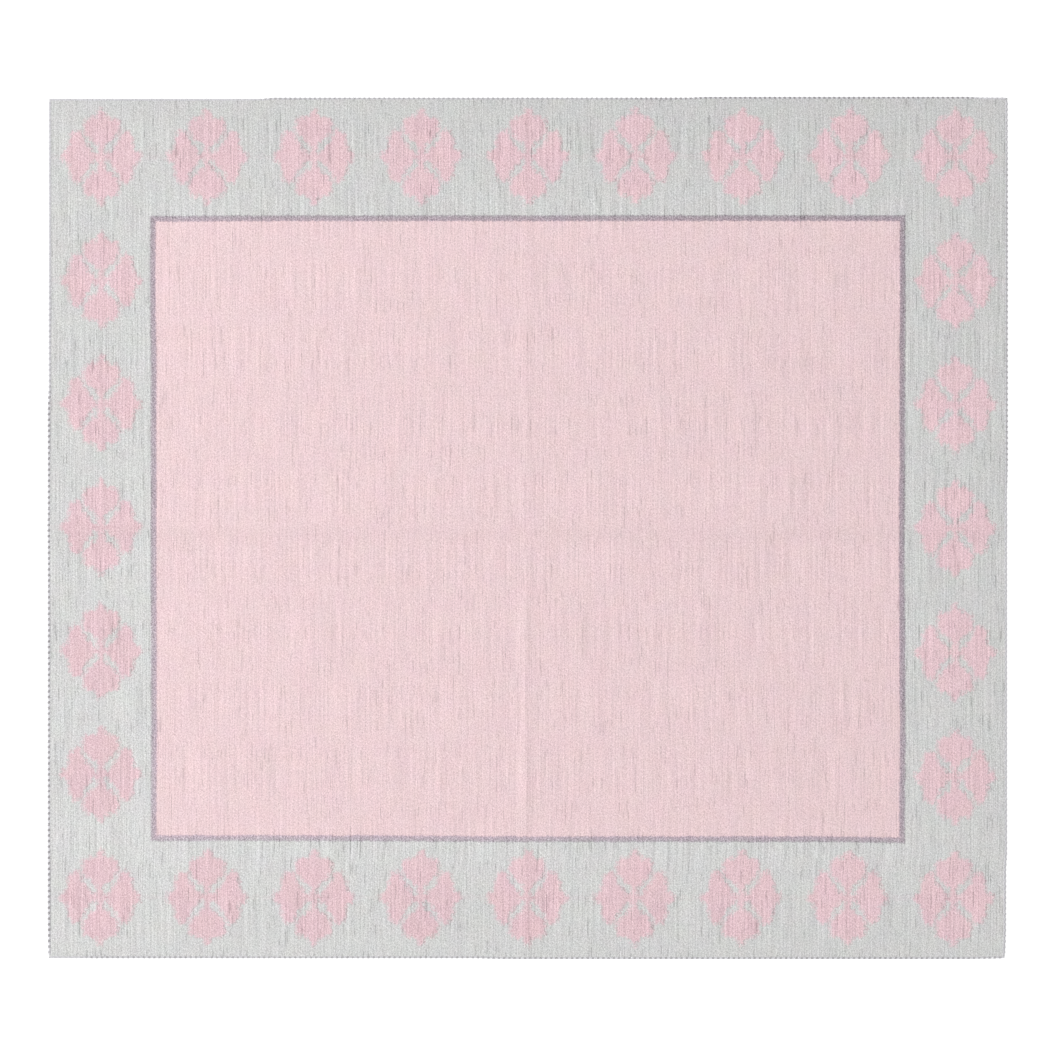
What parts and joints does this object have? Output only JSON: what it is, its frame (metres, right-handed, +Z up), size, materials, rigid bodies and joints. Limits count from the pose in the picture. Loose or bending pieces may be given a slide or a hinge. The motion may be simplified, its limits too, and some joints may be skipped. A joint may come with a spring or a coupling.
{
  "type": "flatweave rug",
  "caption": "Large flatweave rug with a plain pink field, a narrow mauve-grey stripe round it and a pale grey border of pink blooms, lying flat with soft storage creases.",
  "frame": {"origin": "centre of the rug's rectangle, on the floor under it", "axes": "+X across the rug's longer side, +Y along its shorter side and the ribs of its weave, +Z up out of the face"},
  "size_m": [2.74, 2.46, 0.0079],
  "materials": {
    "rug_cloth": "matt weft-faced wool, pink field, pale grey border with pink blooms",
    "edge_yarn": "matt mauve-grey wool overcasting round the edge"
  },
  "bodies": {
    "root": {"rug_cloth": "rug_cloth"}
  },
  "joints": []
}
